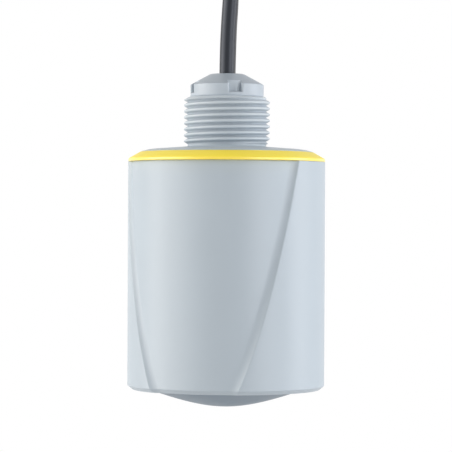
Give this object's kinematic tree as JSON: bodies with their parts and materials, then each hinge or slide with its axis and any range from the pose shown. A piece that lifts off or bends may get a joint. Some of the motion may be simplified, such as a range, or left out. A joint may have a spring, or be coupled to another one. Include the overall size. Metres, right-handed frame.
{
  "type": "radar level transmitter",
  "caption": "Compact radar level sensor: round housing with sunken tapering panels, lens at the foot, coloured ring, threaded neck, cable gland and coiled cable.",
  "frame": {"origin": "on the axis, at the middle of the process thread's lowest full turn", "axes": "+Z along the process thread's axis towards the cable gland, and -Y out of the middle of the front panel"},
  "size_m": [0.0903, 0.18, 0.2122],
  "materials": {
    "body_plastic": "satin moulded plastic, light grey-blue",
    "lens_plastic": "satin grey-blue",
    "ring_yellow": "satin yellow",
    "seal_rubber": "matt black",
    "washer_steel": "turned",
    "screw_steel": "plain",
    "potting_resin": "cast resin, black",
    "carrier_plastic": "moulded, dark grey",
    "spacer_brass": "turned",
    "board_laminate": "glass laminate, green",
    "chip_plastic": "moulded, black",
    "shield_tin": "tinned sheet",
    "horn_aluminium": "turned",
    "absorber_foam": "matt foam, black",
    "header_plastic": "moulded, black",
    "connector_plastic": "moulded, ivory",
    "coil_ferrite": "lacquered winding",
    "capacitor_sleeve": "shrunk sleeve, dark blue",
    "core_insulation": "extruded, one colour a core",
    "cable_sheath": "extruded, black, soft sheen",
    "tie_nylon": "moulded, black",
    "ferrule_tin": "tinned"
  },
  "bodies": {
    "root": {"housing": "body_plastic", "lens": "lens_plastic", "lens_seal": "seal_rubber", "neck_cap": "body_plastic", "cap_seal": "seal_rubber", "colour_ring": "ring_yellow", "gland_nut": "body_plastic", "thrust_washer": "washer_steel", "cable_seal": "seal_rubber", "potting": "potting_resin", "electronics_carrier": "carrier_plastic", "carrier_screws": "screw_steel", "board_screws": "screw_steel", "spacers": "spacer_brass", "radar_board": "board_laminate", "radar_chip": "chip_plastic", "shield_can": "shield_tin", "feed_horn": "horn_aluminium", "absorber_sleeve": "absorber_foam", "supply_board": "board_laminate", "board_header": "header_plastic", "lead_connector": "connector_plastic", "supply_coil": "coil_ferrite", "supply_capacitor": "capacitor_sleeve", "inner_cores": "core_insulation", "cable": "cable_sheath", "cable_coil": "cable_sheath", "coil_ties": "tie_nylon", "free_cores": "core_insulation", "ferrules": "ferrule_tin"}
  },
  "joints": []
}
